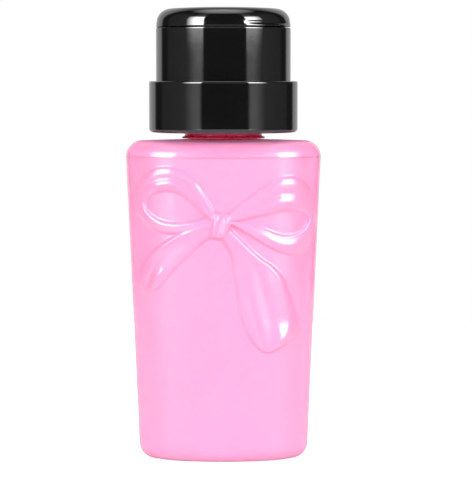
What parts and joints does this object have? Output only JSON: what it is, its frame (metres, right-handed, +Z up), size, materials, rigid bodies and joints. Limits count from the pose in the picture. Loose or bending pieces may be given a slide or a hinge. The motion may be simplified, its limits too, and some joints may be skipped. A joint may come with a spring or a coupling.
{
  "type": "nail polish remover pump",
  "caption": "Tapered bottle with a moulded bow and a press-down pump head: a flip lid covers a dish that fills when a cotton pad is pressed on it.",
  "frame": {"origin": "centre of the base, on the surface that the bottle stands on, under the pump's axis", "axes": "+Z up along the pump's axis, -Y out of the front with the bow, +X to the right as seen from the front"},
  "size_m": [0.069, 0.053, 0.1607],
  "materials": {
    "bottle": "satin gloss",
    "closure": "gloss",
    "head": "high gloss",
    "dish": "gloss",
    "pump": "natural polypropylene",
    "tube": "natural polyethylene",
    "seal": "soft polyethylene",
    "washer": "foamed polyethylene",
    "rubber": "matt",
    "steel": "drawn wire",
    "ball": "polished"
  },
  "bodies": {
    "bottle": {"bottle": "bottle"},
    "pump": {"pump_cylinder": "pump", "stem_guide": "pump", "guide_seal": "rubber", "neck_gasket": "washer", "ball_cage": "pump", "dip_tube": "tube", "return_spring": "steel"},
    "closure": {"screw_closure": "closure", "collar_ring": "head"},
    "head": {"head_sleeve": "head", "press_dish": "dish", "outlet_insert": "pump", "stem": "pump", "piston": "seal", "piston_core": "pump", "hinge_pin": "steel"},
    "lid": {"lid": "head", "lid_seal": "seal"},
    "inlet_ball": {"inlet_ball": "ball"},
    "outlet_ball": {"outlet_ball": "ball"}
  },
  "joints": [
    {"name": "pump_lift", "type": "slide", "parent": "bottle", "child": "pump", "axis": [0, 0, 1], "range_m": [0, 0.00477]},
    {"name": "closure_turn", "type": "hinge", "parent": "pump", "child": "closure", "pos_m": [0, 0, 0.1141], "axis": [0, 0, 1], "range_deg": [0, 540]},
    {"name": "head_press", "type": "slide", "parent": "pump", "child": "head", "axis": [0, 0, -1], "range_m": [0, 0.0075], "stiffness_N_per_m": 600, "springref_m": -0.0065, "deforming": ["return_spring"]},
    {"name": "lid_hinge", "type": "hinge", "parent": "head", "child": "lid", "pos_m": [-0.01824, 0.01824, 0.15336], "axis": [-0.7071, -0.7071, 0], "range_deg": [0, 115]},
    {"name": "inlet_ball_lift", "type": "slide", "parent": "pump", "child": "inlet_ball", "axis": [0, 0, 1], "range_m": [0, 0.001]},
    {"name": "outlet_ball_lift", "type": "slide", "parent": "head", "child": "outlet_ball", "axis": [0, 0, 1], "range_m": [0, 0.0008]}
  ],
  "couplings": [
    {"joint": "pump_lift", "follows": "closure_turn", "m_per_rad": 0.00050532}
  ]
}
